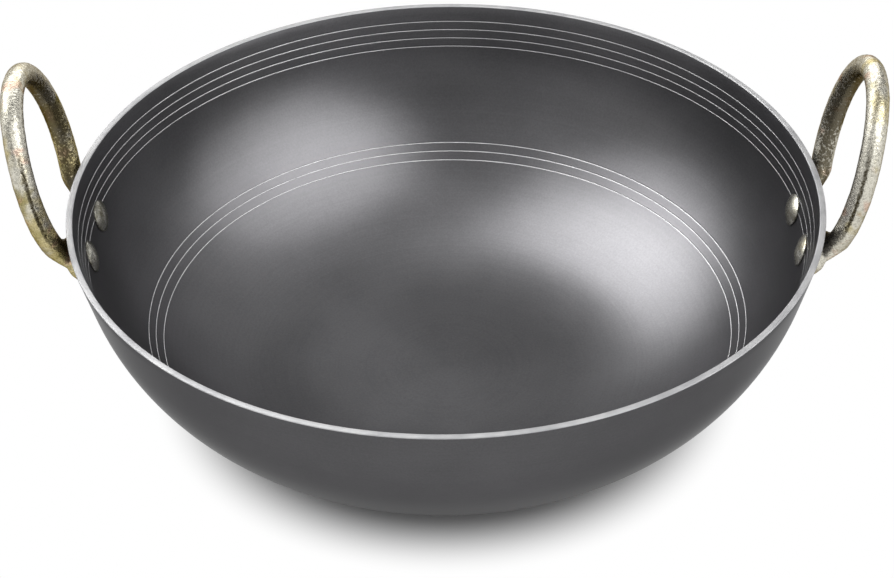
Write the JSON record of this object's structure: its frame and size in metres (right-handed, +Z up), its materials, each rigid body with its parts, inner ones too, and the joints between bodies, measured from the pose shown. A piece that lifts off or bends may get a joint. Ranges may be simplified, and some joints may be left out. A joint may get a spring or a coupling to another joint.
{
  "type": "kadai",
  "caption": "Deep round-bellied frying bowl with a flat base, flared wall, fine bright lines turned into the inside, and an upright ring handle of bent rod riveted to each side.",
  "frame": {"origin": "centre of the flat base, on the surface it stands on", "axes": "+X through the middle of both handles towards the right one, +Y to the back, +Z up through the open mouth"},
  "size_m": [0.339, 0.2996, 0.1459],
  "materials": {
    "bowl": "satin dark grey hard anodising, bare bright rim and turned lines",
    "handle": "finely pitted rod with a yellow passivated plating, uneven gold and silver",
    "rivet": "dull aged grey"
  },
  "bodies": {
    "root": {"bowl": "bowl", "left_handle": "handle", "right_handle": "handle", "left_front_rivet": "rivet", "left_rear_rivet": "rivet", "right_front_rivet": "rivet", "right_rear_rivet": "rivet"}
  },
  "joints": []
}
